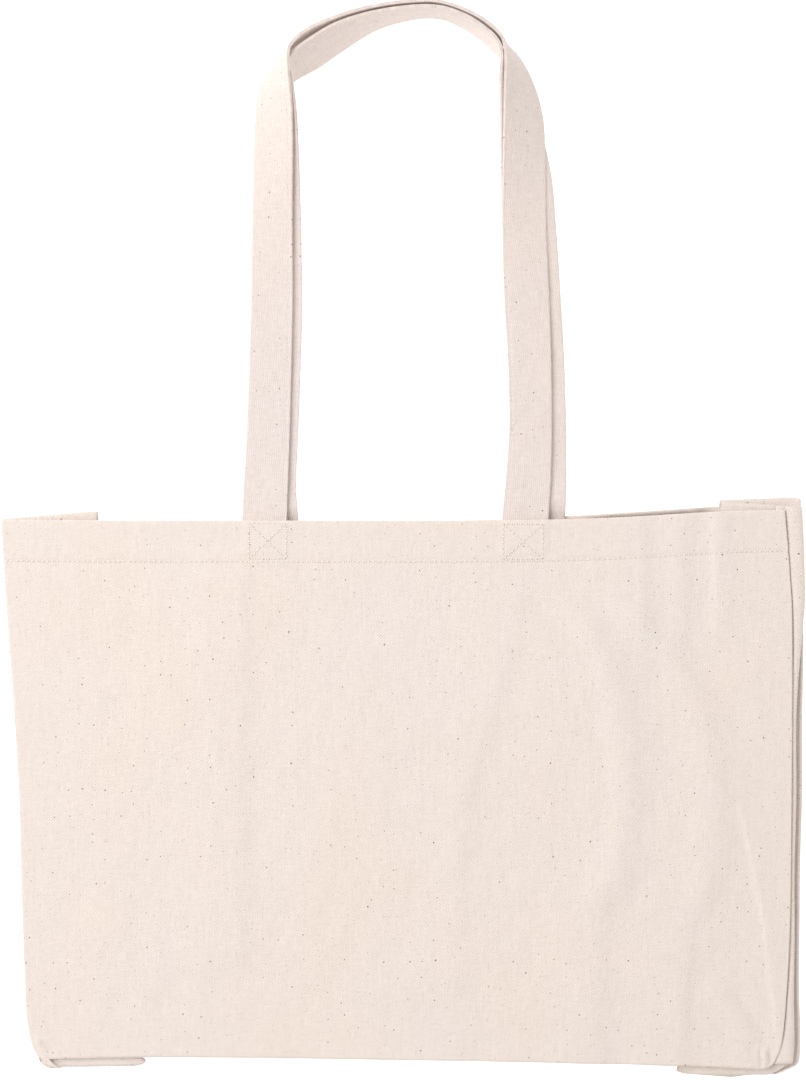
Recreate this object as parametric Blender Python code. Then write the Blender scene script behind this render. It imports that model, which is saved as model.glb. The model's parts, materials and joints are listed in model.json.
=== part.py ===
"""Canvas tote bag, lying flat on its back panel with both gussets folded in.

+X runs across the bag, +Y from its bottom to its handles, +Z from the back panel to the front one.
The origin is under the middle of the whole outline, on the surface that the bag lies on. Lengths are in metres.
"""

import math

import bmesh
import bpy
from mathutils import Vector

# Bag
PANEL_WIDTH = 0.480
PANEL_HEIGHT = 0.337
GUSSET_DEPTH = 0.120
CANVAS = 0.0008
LAYER_PITCH = 0.0018
TOP_EDGE = 0.015
HEM_DEPTH = 0.025
GUSSET_OVERHANG = 0.006
FOLD_GAP = 0.0006
MITRE_GAP = 0.001
PIECE_GAP = 0.0003

# Layers of the folded bag, counted up from the back panel
BACK_PANEL = 0
BOTTOM_BACK = 1
TUCK_BACK = 2
SIDE_BACK = 3
SIDE_FRONT = 4
TUCK_FRONT = 5
BOTTOM_FRONT = 6
FRONT_PANEL = 7

# Handles
STRAP_WIDTH = 0.029
STRAP = 0.0021
STRAP_SPACING = 0.0036
TAB_LENGTH = 0.0235
HEM_SLOPE = 0.045
TWIST_START = 0.250
TWIST_END = 0.292
STATIONS_PER_SPAN = 6
STRAP_COLUMNS = 2
FRONT_TAB_X = {"left": -0.0790, "right": 0.0817}
BACK_TAB_X = {"left": -0.0715, "right": 0.0915}
FRONT_ROUTE = (
    (-0.0760, 0.080), (-0.0735, 0.160), (-0.0726, 0.235), (-0.0700, 0.268), (-0.0615, 0.2925),
    (-0.0380, 0.3140), (-0.0040, 0.3250), (0.0200, 0.3261), (0.0440, 0.3225), (0.0635, 0.3105),
    (0.0745, 0.2920), (0.0785, 0.268), (0.0795, 0.235), (0.0820, 0.160), (0.0845, 0.080),
)
BACK_ROUTE = (
    (-0.0700, 0.080), (-0.0690, 0.160), (-0.0680, 0.235), (-0.0640, 0.262), (-0.0550, 0.2845),
    (-0.0350, 0.3035), (-0.0040, 0.3160), (0.0240, 0.3190), (0.0430, 0.3140), (0.0570, 0.3020),
    (0.0665, 0.2850), (0.0735, 0.262), (0.0790, 0.235), (0.0895, 0.160), (0.0925, 0.080),
)

# Sewing thread
THREAD = 0.0004
THREAD_WIDTH = 0.0006
BOX_STITCH_INSET = 0.0030
BOX_STITCH_LOW = 0.0195
BOX_STITCH_HIGH = 0.0020
EDGE_STITCH_INSET = 0.0020
EDGE_STITCH_RISE = 0.0006
EDGE_STITCH_START = 0.008
SEAM_END_GAP = 0.001

HALF_WIDTH = PANEL_WIDTH / 2
PLEAT = GUSSET_DEPTH / 2
BOTTOM_EDGE = TOP_EDGE - PANEL_HEIGHT
BOTTOM_CREASE = BOTTOM_EDGE + PLEAT
HEM_LINE = TOP_EDGE - HEM_DEPTH
SIDE_CREASE = HALF_WIDTH - PLEAT
SIDES = {"left": -1, "right": 1}

COLOURS = {
    "canvas": (0.86, 0.77, 0.70, 1.0),
    "strap_canvas": (0.87, 0.78, 0.71, 1.0),
    "thread": (0.88, 0.83, 0.76, 1.0),
}


def layer_bottom(layer):
    return layer * LAYER_PITCH


def layer_top(layer):
    return layer_bottom(layer) + CANVAS


def fold_height(lower, upper):
    """Height of the fold or seam line that joins two layers."""
    return (layer_bottom(lower) + layer_top(upper)) / 2


MIDDLE = fold_height(SIDE_BACK, SIDE_FRONT)
BACK_SEAM = fold_height(BACK_PANEL, SIDE_BACK)
FRONT_SEAM = fold_height(SIDE_FRONT, FRONT_PANEL)


def clear_scene():
    for obj in list(bpy.data.objects):
        bpy.data.objects.remove(obj, do_unlink=True)


def make_materials():
    materials = {}
    for name, colour in COLOURS.items():
        material = bpy.data.materials.new(name)
        material.use_nodes = True
        shader = material.node_tree.nodes["Principled BSDF"]
        shader.inputs["Base Color"].default_value = colour
        shader.inputs["Roughness"].default_value = 0.9
        shader.inputs["Metallic"].default_value = 0.0
        materials[name] = material
    return materials


def make_pivot(name, position, parent=None):
    """An empty on a joint's axis, which the pieces that turn about it hang from."""
    empty = bpy.data.objects.new(name, None)
    bpy.context.scene.collection.objects.link(empty)
    empty.empty_display_size = 0.02
    empty["world"] = position
    empty.location = Vector(position)
    if parent:
        empty.parent = parent
        empty.location = Vector(position) - Vector(parent["world"])
    return empty


def add_piece(name, shape, pivot, material):
    """Makes an object of a bmesh drawn in world coordinates, with its origin on its pivot."""
    bmesh.ops.recalc_face_normals(shape, faces=shape.faces)
    bmesh.ops.translate(shape, verts=shape.verts, vec=-Vector(pivot["world"]))
    mesh = bpy.data.meshes.new(name)
    shape.to_mesh(mesh)
    shape.free()
    mesh.materials.append(material)
    piece = bpy.data.objects.new(name, mesh)
    bpy.context.scene.collection.objects.link(piece)
    piece.parent = pivot
    return piece


def extrude_outline(corners, step):
    """A prism: the outline's corners in order, pulled along the step."""
    shape = bmesh.new()
    outline = shape.faces.new([shape.verts.new(corner) for corner in corners])
    pulled = bmesh.ops.extrude_face_region(shape, geom=[outline])["geom"]
    moved = [item for item in pulled if isinstance(item, bmesh.types.BMVert)]
    bmesh.ops.translate(shape, verts=moved, vec=step)
    return shape


def flat_plate(outline, low, high):
    """A level sheet between two heights, of an outline in X and Y."""
    return extrude_outline([(x, y, low) for x, y in outline], (0, 0, high - low))


def block(low, high):
    outline = ((low[0], low[1]), (high[0], low[1]), (high[0], high[1]), (low[0], high[1]))
    return flat_plate(outline, low[2], high[2])


def ribbon(frames, width, thickness, columns=1):
    """A strip that follows frames of (centre, direction across, direction of its face)."""
    shape = bmesh.new()
    rings = []
    across_steps = [2 * i / columns - 1 for i in range(columns + 1)]
    for centre, across, face in frames:
        side = across * (width / 2)
        lift = face * (thickness / 2)
        under = [centre + side * step - lift for step in across_steps]
        over = [centre + side * step + lift for step in reversed(across_steps)]
        rings.append([shape.verts.new(corner) for corner in under + over])
    for first, second in zip(rings, rings[1:]):
        for i in range(len(first)):
            j = (i + 1) % len(first)
            shape.faces.new((first[i], first[j], second[j], second[i]))
    shape.faces.new(rings[0])
    shape.faces.new(rings[-1])
    return shape


def make_panel(name, layer, hem_side, pivot, material):
    """One panel in one piece with the hem that is turned to its inner side."""
    outer = layer_bottom(layer) if hem_side > 0 else layer_top(layer)
    inner = outer + hem_side * CANVAS
    hem = inner + hem_side * CANVAS
    profile = (
        (BOTTOM_EDGE, outer), (TOP_EDGE, outer), (TOP_EDGE, hem),
        (HEM_LINE, hem), (HEM_LINE, inner), (BOTTOM_EDGE, inner),
    )
    corners = [(-HALF_WIDTH, y, z) for y, z in profile]
    return add_piece(name, extrude_outline(corners, (PANEL_WIDTH, 0, 0)), pivot, material)


def make_side_half(name, side, layer, pivot, material):
    """Half of a side gusset, from its seam to the crease down the gusset's middle."""
    low = BOTTOM_EDGE - GUSSET_OVERHANG
    high = TOP_EDGE + GUSSET_OVERHANG
    xs = sorted((side * HALF_WIDTH, side * (SIDE_CREASE + FOLD_GAP)))
    shape = block((xs[0], low, layer_bottom(layer)), (xs[1], high, layer_top(layer)))
    return add_piece(name, shape, pivot, material)


def make_bottom_half(name, layer, pivot, material):
    """Half of the bottom, from its seam to its crease, with mitred ends."""
    seam_x = HALF_WIDTH - MITRE_GAP
    crease_x = SIDE_CREASE + FOLD_GAP - MITRE_GAP
    crease = BOTTOM_CREASE - FOLD_GAP
    outline = ((-seam_x, BOTTOM_EDGE), (seam_x, BOTTOM_EDGE), (crease_x, crease), (-crease_x, crease))
    return add_piece(name, flat_plate(outline, layer_bottom(layer), layer_top(layer)), pivot, material)


def make_corner_tuck(name, side, layer, pivot, material):
    """The corner of the bottom strip, folded in as a triangle against the side gusset."""
    inner = SIDE_CREASE + FOLD_GAP
    outline = (
        (side * (HALF_WIDTH - FOLD_GAP), BOTTOM_EDGE),
        (side * inner, BOTTOM_CREASE - FOLD_GAP),
        (side * inner, BOTTOM_EDGE),
    )
    return add_piece(name, flat_plate(outline, layer_bottom(layer), layer_top(layer)), pivot, material)


def smooth_step(value):
    value = min(max(value, 0.0), 1.0)
    return value * value * (3 - 2 * value)


def curve_through(points):
    """A smooth curve through the points, as positions and directions."""
    padded = [points[0] * 2 - points[1], *points, points[-1] * 2 - points[-2]]
    samples = []
    for i in range(1, len(padded) - 2):
        before, start, end, after = padded[i - 1:i + 3]
        leave = (end - before) / 2
        arrive = (after - start) / 2
        last_span = i == len(padded) - 3
        for step in range(STATIONS_PER_SPAN + (1 if last_span else 0)):
            t = step / STATIONS_PER_SPAN
            place = (
                start * (2 * t**3 - 3 * t**2 + 1) + leave * (t**3 - 2 * t**2 + t)
                + end * (3 * t**2 - 2 * t**3) + arrive * (t**3 - t**2)
            )
            heading = (
                start * (6 * t**2 - 6 * t) + leave * (3 * t**2 - 4 * t + 1)
                + end * (6 * t - 6 * t**2) + arrive * (3 * t**2 - 2 * t)
            )
            samples.append((place, heading.normalized()))
    return samples


def strap_frames(route, tab_x, stack, tab_height):
    """The frames of one handle: flat legs that turn on edge to go round the arch.

    stack is how far the flat legs lie above the surface, and tab_height is where they leave the hem.
    """
    first = TOP_EDGE + PIECE_GAP
    points = [(tab_x["left"], first), *route, (tab_x["right"], first)]
    frames = []
    for place, heading in curve_through([Vector(point) for point in points]):
        near_hem = 1 - smooth_step((place.y - first) / HEM_SLOPE)
        turn = math.pi / 2 * smooth_step((place.y - TWIST_START) / (TWIST_END - TWIST_START))
        outward = Vector((-heading.y, heading.x * (1 - near_hem), 0)).normalized()
        up = Vector((0, 0, 1))
        across = outward * math.cos(turn) - up * math.sin(turn)
        face = up * math.cos(turn) + outward * math.sin(turn)
        height = (STRAP / 2 + stack) * math.cos(turn) + STRAP_WIDTH / 2 * math.sin(turn)
        height += (tab_height - STRAP / 2 - stack) * near_hem
        frames.append((Vector((place.x, place.y, height)), across, face))
    return frames


def edge_stitch_frames(frames):
    """The frames clear of the hem, moved to the inner edge of the strap and just proud of its face."""
    inset = STRAP_WIDTH / 2 - EDGE_STITCH_INSET
    proud = STRAP / 2 + EDGE_STITCH_RISE
    first = TOP_EDGE + EDGE_STITCH_START
    return [(at - across * inset + face * proud, across, face) for at, across, face in frames if at.y > first]


def box_stitch(x, y_low, y_high, low):
    """A flat closed ring of thread."""
    half = STRAP_WIDTH / 2 - BOX_STITCH_INSET
    shape = block((x - half, y_low, low), (x + half, y_high, low + THREAD))
    top = [f for f in shape.faces if abs(f.normal.z) > 0.5]
    bmesh.ops.inset_individual(shape, faces=top, thickness=THREAD_WIDTH)
    bmesh.ops.bridge_loops(shape, edges=[e for f in top for e in f.edges])
    bmesh.ops.delete(shape, geom=top, context="FACES_ONLY")
    return shape


def make_handle(name, route, tab_x, stack, tab_height, swing, loop_material, thread):
    frames = strap_frames(route, tab_x, stack, tab_height)
    add_piece(f"{name}_handle_loop", ribbon(frames, STRAP_WIDTH, STRAP, STRAP_COLUMNS), swing, loop_material)
    stitch = ribbon(edge_stitch_frames(frames), THREAD_WIDTH, THREAD / 2)
    add_piece(f"{name}_handle_edge_stitch", stitch, swing, thread)


def make_tabs(name, tab_x, tab_height, stitch_height, panel, strap, thread):
    """The handle's sewn ends, flat against the hem, with their box stitches."""
    low_z = tab_height - STRAP / 2
    for end, x in tab_x.items():
        low = (x - STRAP_WIDTH / 2, TOP_EDGE - TAB_LENGTH, low_z)
        high = (x + STRAP_WIDTH / 2, TOP_EDGE, low_z + STRAP)
        add_piece(f"{name}_handle_tab_{end}", block(low, high), panel, strap)
        ring = box_stitch(x, TOP_EDGE - BOX_STITCH_LOW, TOP_EDGE - BOX_STITCH_HIGH, stitch_height)
        add_piece(f"{name}_box_stitch_{end}", ring, panel, thread)


def make_hem_stitch(name, low, pivot, material):
    y = HEM_LINE + THREAD_WIDTH
    half = HALF_WIDTH - SEAM_END_GAP
    shape = block((-half, y - THREAD_WIDTH / 2, low), (half, y + THREAD_WIDTH / 2, low + THREAD))
    return add_piece(name, shape, pivot, material)


def make_seam_threads(name, height, panel, thread):
    """The seams that join one panel to the two side gussets and to the bottom."""
    half = THREAD_WIDTH / 2
    for end, side in SIDES.items():
        x = side * (HALF_WIDTH - THREAD_WIDTH)
        low = (x - half, BOTTOM_CREASE, height - THREAD / 2)
        high = (x + half, TOP_EDGE - SEAM_END_GAP, height + THREAD / 2)
        add_piece(f"{name}_side_seam_{end}", block(low, high), panel, thread)
    reach = SIDE_CREASE - SEAM_END_GAP
    y = BOTTOM_EDGE - half
    shape = block((-reach, y - half, height - THREAD / 2), (reach, y + half, height + THREAD / 2))
    add_piece(f"{name}_bottom_seam", shape, panel, thread)


def make_bag():
    clear_scene()
    materials = make_materials()
    canvas = materials["canvas"]
    strap = materials["strap_canvas"]
    thread = materials["thread"]

    back = make_pivot("back_panel_frame", (0, 0, 0))
    gusset = {}
    crease = {}
    for end, side in SIDES.items():
        gusset[end] = make_pivot(f"{end}_back_seam_axis", (side * HALF_WIDTH, 0, BACK_SEAM), back)
        crease[end] = make_pivot(f"{end}_crease_axis", (side * SIDE_CREASE, 0, MIDDLE), gusset[end])
    front = make_pivot("front_panel_slide", (0, 0, layer_bottom(FRONT_PANEL)), back)
    bottom = make_pivot("bottom_back_seam_axis", (0, BOTTOM_EDGE, BACK_SEAM), back)
    bottom_crease = make_pivot("bottom_crease_axis", (0, BOTTOM_CREASE, MIDDLE), bottom)

    make_panel("back_panel", BACK_PANEL, 1, back, canvas)
    make_panel("front_panel", FRONT_PANEL, -1, front, canvas)
    for end, side in SIDES.items():
        make_side_half(f"{end}_gusset_back_half", side, SIDE_BACK, gusset[end], canvas)
        make_side_half(f"{end}_gusset_front_half", side, SIDE_FRONT, crease[end], canvas)
        make_corner_tuck(f"{end}_corner_tuck_back", side, TUCK_BACK, gusset[end], canvas)
        make_corner_tuck(f"{end}_corner_tuck_front", side, TUCK_FRONT, crease[end], canvas)
    make_bottom_half("bottom_back_half", BOTTOM_BACK, bottom, canvas)
    make_bottom_half("bottom_front_half", BOTTOM_FRONT, bottom_crease, canvas)

    back_hem_top = layer_top(BACK_PANEL) + CANVAS
    front_hem_low = layer_bottom(FRONT_PANEL) - CANVAS
    back_tab = back_hem_top + PIECE_GAP + STRAP / 2
    front_tab = front_hem_low - PIECE_GAP - STRAP / 2
    front_top = layer_top(FRONT_PANEL) + PIECE_GAP
    back_swing = make_pivot("back_handle_axis", (0, TOP_EDGE, layer_top(BACK_PANEL)), back)
    front_swing = make_pivot("front_handle_axis", (0, TOP_EDGE, layer_bottom(FRONT_PANEL)), front)
    make_handle("back", BACK_ROUTE, BACK_TAB_X, 0, back_tab, back_swing, strap, thread)
    make_handle("front", FRONT_ROUTE, FRONT_TAB_X, STRAP_SPACING, front_tab, front_swing, strap, thread)
    make_tabs("back", BACK_TAB_X, back_tab, back_tab + STRAP / 2 + PIECE_GAP, back, strap, thread)
    make_tabs("front", FRONT_TAB_X, front_tab, front_top, front, strap, thread)
    make_hem_stitch("back_hem_stitch", back_hem_top + PIECE_GAP, back, thread)
    make_hem_stitch("front_hem_stitch", front_top, front, thread)
    make_seam_threads("back", BACK_SEAM, back, thread)
    make_seam_threads("front", FRONT_SEAM, front, thread)


make_bag()
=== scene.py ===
import json
import math

import bpy
import numpy as np
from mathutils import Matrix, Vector

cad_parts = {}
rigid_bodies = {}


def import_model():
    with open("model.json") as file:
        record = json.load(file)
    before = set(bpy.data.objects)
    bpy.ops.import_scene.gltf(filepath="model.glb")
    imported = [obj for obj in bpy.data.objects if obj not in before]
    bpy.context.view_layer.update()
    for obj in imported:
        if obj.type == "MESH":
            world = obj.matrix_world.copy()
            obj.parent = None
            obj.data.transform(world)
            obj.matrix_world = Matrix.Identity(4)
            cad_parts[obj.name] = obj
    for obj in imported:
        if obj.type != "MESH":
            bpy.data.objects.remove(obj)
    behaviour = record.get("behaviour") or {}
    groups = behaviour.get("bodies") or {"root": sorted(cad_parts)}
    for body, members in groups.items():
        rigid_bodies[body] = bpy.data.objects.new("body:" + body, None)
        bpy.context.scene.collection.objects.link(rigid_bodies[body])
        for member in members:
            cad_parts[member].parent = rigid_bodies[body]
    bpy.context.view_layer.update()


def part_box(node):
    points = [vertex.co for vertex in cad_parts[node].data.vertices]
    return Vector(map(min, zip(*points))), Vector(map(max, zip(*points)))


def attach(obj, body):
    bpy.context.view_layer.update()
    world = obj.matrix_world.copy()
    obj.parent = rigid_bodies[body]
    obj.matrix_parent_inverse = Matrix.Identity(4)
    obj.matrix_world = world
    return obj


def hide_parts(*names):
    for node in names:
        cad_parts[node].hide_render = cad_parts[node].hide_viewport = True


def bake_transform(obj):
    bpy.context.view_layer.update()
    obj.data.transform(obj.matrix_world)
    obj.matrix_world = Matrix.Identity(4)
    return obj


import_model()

# The bag lies on its back panel: +X across, +Y towards the handles, +Z up from the floor. Metres.
MM = 0.001
CANVAS = 0.8 * MM
STRAP = 2.1 * MM
STRAP_WIDTH = 29.0 * MM

FRONT_LOW, FRONT_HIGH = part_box("front_panel")
BACK_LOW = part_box("back_panel")[0]
FRONT_Z = FRONT_HIGH.z - CANVAS / 2
BACK_Z = BACK_LOW.z + CANVAS / 2
TOP_EDGE = FRONT_HIGH.y
BOTTOM_EDGE = FRONT_LOW.y
BACK_TAB_Z = (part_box("back_handle_tab_left")[0].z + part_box("back_handle_tab_left")[1].z) / 2
HEM_DEPTH = 24.5 * MM
SEAM_INSET = 1.6 * MM
# Flat sizes of a side gusset: its depth and its height, in metres.
GUSSET_DEPTH = 0.120
GUSSET_HEIGHT = 0.349

CAMERA_X = 6.4 * MM
CAMERA_HEIGHT = 1.39
FRAME_HEIGHT = 0.6615
TARGET_Z = 0.010
SENSOR = 36.0


# ---------------------------------------------------------------- mesh tools
def smooth_step(value):
    value = np.clip(value, 0.0, 1.0)
    return value * value * (3 - 2 * value)


def bump(value, middle, width):
    return np.exp(-(((value - middle) / width) ** 2))


def waves(x, y, seed, count, shortest, longest):
    """Smooth random relief between about -1 and 1, as a sum of waves."""
    random = np.random.default_rng(seed)
    total = np.zeros(np.broadcast(x, y).shape)
    for _ in range(count):
        length = random.uniform(shortest, longest)
        angle = random.uniform(0, math.tau)
        phase = random.uniform(0, math.tau)
        total += np.sin((x * math.cos(angle) + y * math.sin(angle)) * math.tau / length + phase)
    return total / math.sqrt(count)


def new_object(name, points, faces, uvs=None):
    mesh = bpy.data.meshes.new(name)
    mesh.from_pydata([tuple(p) for p in points], [], faces)
    if uvs is not None:
        layer = mesh.uv_layers.new(name="cloth")
        loops = np.zeros(len(mesh.loops), np.int32)
        mesh.loops.foreach_get("vertex_index", loops)
        layer.data.foreach_set("uv", np.asarray(uvs, np.float32)[loops].reshape(-1))
    mesh.update()
    piece = bpy.data.objects.new(name, mesh)
    bpy.context.scene.collection.objects.link(piece)
    for polygon in mesh.polygons:
        polygon.use_smooth = True
    return piece


def grid_faces(rows, columns, start=0, flip=False, close=False):
    faces = []
    for i in range(rows - 1):
        for j in range(columns if close else columns - 1):
            k = (j + 1) % columns
            a, b = start + i * columns + j, start + i * columns + k
            c, d = b + columns, a + columns
            faces.append((a, d, c, b) if flip else (a, b, c, d))
    return faces


def grid_normals(points):
    along = np.gradient(points, axis=0)
    across = np.gradient(points, axis=1)
    normal = np.cross(across, along)
    return normal / np.maximum(np.linalg.norm(normal, axis=2, keepdims=True), 1e-12)


def cloth(name, points, uvs, thickness=CANVAS):
    """A sheet with thickness and rounded rims around a grid of middle points."""
    rows, columns = points.shape[:2]
    normal = grid_normals(points)
    half = thickness / 2
    over = (points + normal * half).reshape(-1, 3)
    under = (points - normal * half).reshape(-1, 3)
    rim = [(0, j) for j in range(columns)] + [(i, columns - 1) for i in range(1, rows)]
    rim += [(rows - 1, j) for j in range(columns - 2, -1, -1)] + [(i, 0) for i in range(rows - 2, 0, -1)]
    outward = []
    for i, j in rim:
        inner = points[min(max(i, 1), rows - 2), min(max(j, 1), columns - 2)]
        away = points[i, j] - inner
        outward.append(points[i, j] + away / max(np.linalg.norm(away), 1e-12) * half * 0.7)
    count = rows * columns
    faces = grid_faces(rows, columns, 0) + grid_faces(rows, columns, count, flip=True)
    edge = 2 * count
    for n, (i, j) in enumerate(rim):
        m = (n + 1) % len(rim)
        k, l = rim[m]
        a, b = i * columns + j, k * columns + l
        faces.append((b, a, edge + n, edge + m))
        faces.append((edge + m, edge + n, count + a, count + b))
    flat_uv = uvs.reshape(-1, 2)
    rim_uv = np.array([uvs[i, j] for i, j in rim])
    return new_object(
        name, np.concatenate([over, under, outward]), faces, np.concatenate([flat_uv, flat_uv, rim_uv])
    )


def joined(name, parts):
    """One mesh object of many small copies, given as (points, faces, uvs)."""
    points, faces, uvs, start = [], [], [], 0
    for some_points, some_faces, some_uvs in parts:
        points.append(some_points)
        uvs += some_uvs
        faces += [tuple(start + v for v in face) for face in some_faces]
        start += len(some_points)
    return new_object(name, np.concatenate(points), faces, np.array(uvs))


def smooth_path(stations, samples):
    """Points evenly spaced along a smooth curve through the stations, with any number of columns."""
    stations = np.asarray(stations, float)
    padded = np.concatenate([[2 * stations[0] - stations[1]], stations, [2 * stations[-1] - stations[-2]]])
    fine = []
    for i in range(1, len(padded) - 2):
        p0, p1, p2, p3 = padded[i - 1:i + 3]
        for t in np.linspace(0, 1, 24, endpoint=False):
            m1, m2 = (p2 - p0) / 2, (p3 - p1) / 2
            fine.append(
                p1 * (2 * t**3 - 3 * t**2 + 1) + m1 * (t**3 - 2 * t**2 + t)
                + p2 * (3 * t**2 - 2 * t**3) + m2 * (t**3 - t**2)
            )
    fine.append(padded[-2])
    fine = np.array(fine)
    length = np.concatenate([[0], np.cumsum(np.linalg.norm(np.diff(fine[:, :3], axis=0), axis=1))])
    wanted = np.linspace(0, length[-1], samples)
    return np.stack([np.interp(wanted, length, fine[:, k]) for k in range(fine.shape[1])], axis=1)


# ---------------------------------------------------------------- stitches
STITCH_RINGS = ((-0.5, 0.35), (-0.34, 0.85), (0.0, 1.0), (0.34, 0.85), (0.5, 0.35))
STITCH_SIDES = 6


def stitch(centre, along, up, length, width, height):
    """One stitch: a short plump thread lying along its seam, its ends sunk into the cloth."""
    along = along / np.linalg.norm(along)
    side = np.cross(up, along)
    side /= np.linalg.norm(side)
    up = np.cross(along, side)
    points = []
    for place, size in STITCH_RINGS:
        middle = centre + along * place * length - up * height * 0.45 * (2 * abs(place)) ** 3
        for k in range(STITCH_SIDES):
            angle = math.tau * k / STITCH_SIDES
            points.append(
                middle + side * math.cos(angle) * size * width / 2 + up * math.sin(angle) * size * height / 2
            )
    faces = grid_faces(len(STITCH_RINGS), STITCH_SIDES, close=True)
    faces.append(tuple(reversed(range(STITCH_SIDES))))
    last = (len(STITCH_RINGS) - 1) * STITCH_SIDES
    faces.append(tuple(last + k for k in range(STITCH_SIDES)))
    # The first uv coordinate runs from 0 in the middle to 1 at the ends, where the thread material paints
    # needle-hole shade.
    shade = [(2 * abs(place), 0.0) for place, _ in STITCH_RINGS for _ in range(STITCH_SIDES)]
    return np.array(points), faces, shade


def stitch_row(path, ups, pitch=3.0 * MM, seed=1, width=0.72 * MM, height=0.56 * MM):
    """Stitches in a row along a path of points, each with its own up direction."""
    random = np.random.default_rng(seed)
    path, ups = np.asarray(path), np.asarray(ups)
    length = np.concatenate([[0], np.cumsum(np.linalg.norm(np.diff(path, axis=0), axis=1))])
    count = max(int(length[-1] / pitch), 1)
    parts = []
    for n in range(count):
        middle = (n + 0.5) * length[-1] / count
        ends = [middle - pitch / 2, middle + pitch / 2]
        at = [np.array([np.interp(s, length, path[:, k]) for k in range(3)]) for s in ends]
        up = np.array([np.interp(middle, length, ups[:, k]) for k in range(3)])
        wobble = np.cross(up, at[1] - at[0])
        wobble /= np.linalg.norm(wobble)
        centre = (at[0] + at[1]) / 2 + wobble * random.normal(0, 0.06 * MM)
        turned = at[1] - at[0] + wobble * random.normal(0, 0.10 * MM)
        parts.append(stitch(centre, turned, up, pitch * 0.78 * random.uniform(0.92, 1.06), width, height))
    return parts


# ---------------------------------------------------------------- outlines of the panels
# Points along each edge of the front panel, in millimetres, from its left to its right or bottom to top.
FRONT_LEFT = (
    (-216.0, -317.0), (-219.2, -311.0), (-221.2, -305), (-223.0, -295), (-224.1, -282), (-226.4, -220),
    (-228.0, -159), (-231.6, -98), (-236.0, -37), (-239.0, 12.3),
)
FRONT_RIGHT = (
    (230.2, -323.4), (234.4, -317), (237.9, -306), (240.4, -281.7), (242.4, -247), (243.5, -198),
    (244.2, -61), (242.6, -20), (239.6, 17.6),
)
FRONT_TOP = (
    (-239.0, 11.7), (-180, 11.2), (-120, 11.1), (0, 11.1), (65.8, 11.3), (130, 12.7), (200.6, 16.6),
    (239.6, 17.6),
)
FRONT_BOTTOM = (
    (-215.4, -317.2), (-153, -316.0), (-85, -316.3), (66, -318.6), (170, -321.0), (230.2, -323.4),
)
BACK_LEFT = ((-212, -318), (-219, -300), (-224, -220), (-230, -98), (-236, 12))
BACK_RIGHT = ((240, -320), (244, -300), (245, -200), (246.5, -98), (247.5, 23))
BACK_TOP = (
    (-236, 11.4), (-120, 11.3), (0, 11.0), (60, 11.7), (88, 13.0), (105.6, 13.9), (150, 16.6),
    (200, 20.0), (247.5, 22.5),
)
BACK_BOTTOM = ((-212, -316.4), (-100, -315.8), (66, -318), (240, -321))


def edge_between(points, axis):
    """A function giving the edge's other coordinate in metres at a place along the axis."""
    points = np.array(points) * MM
    order = np.argsort(points[:, axis])
    known = smooth_path(points[order], 200)
    return lambda where: np.interp(where, known[:, axis], known[:, 1 - axis])


front_left = edge_between(FRONT_LEFT, 1)
front_right = edge_between(FRONT_RIGHT, 1)
front_top = edge_between(FRONT_TOP, 0)
front_bottom = edge_between(FRONT_BOTTOM, 0)

FRONT_EDGES = (front_left, front_right, front_bottom, front_top)
BACK_EDGES = (
    edge_between(BACK_LEFT, 1), edge_between(BACK_RIGHT, 1),
    edge_between(BACK_BOTTOM, 0), edge_between(BACK_TOP, 0),
)


def panel_plan(edges, s, t, corner):
    """Where the share s across and t up a panel lies in plan. Its lower corners are rounded."""
    left_of, right_of, bottom_of, top_of = edges
    x = -0.24 + 0.48 * s
    y = BOTTOM_EDGE + (TOP_EDGE - BOTTOM_EDGE) * t
    for _ in range(4):
        left, right = left_of(y), right_of(y)
        x = left + (right - left) * s
        low, high = bottom_of(x), top_of(x)
        reach = np.maximum(np.clip(1 - (x - left) / corner, 0, 1), np.clip(1 - (right - x) / corner, 0, 1))
        lift = corner * (1 - np.sqrt(1 - reach**2 + 1e-9)) * 0.7
        y = low + lift + (high - low - lift) * t
    return x, y


def crease(x, y, start, end, width, height):
    """A soft ridge or, with a negative height, a hollow along the line from start to end, in millimetres."""
    start, end = np.array(start) * MM, np.array(end) * MM
    line = end - start
    length = np.linalg.norm(line)
    line /= length
    along = (x - start[0]) * line[0] + (y - start[1]) * line[1]
    across = (x - start[0]) * -line[1] + (y - start[1]) * line[0]
    ends = smooth_step(along / (0.3 * length)) * smooth_step((length - along) / (0.3 * length))
    return height * MM * ends * np.exp(-((across / (width * MM)) ** 2))


def long_fold(x, y, path, height, left, right):
    """A soft ridge along a mostly upright path, with its own width on each side, in millimetres."""
    points = smooth_path(np.array(path) * MM, 80)
    away = x - np.interp(y, points[:, 1], points[:, 0])
    wide = np.where(away < 0, left, right) * MM
    ends = smooth_step((y - points[0, 1]) / (30 * MM)) * smooth_step((points[-1, 1] - y) / (30 * MM))
    return height * MM * ends * np.exp(-((away / wide) ** 2))


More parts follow.
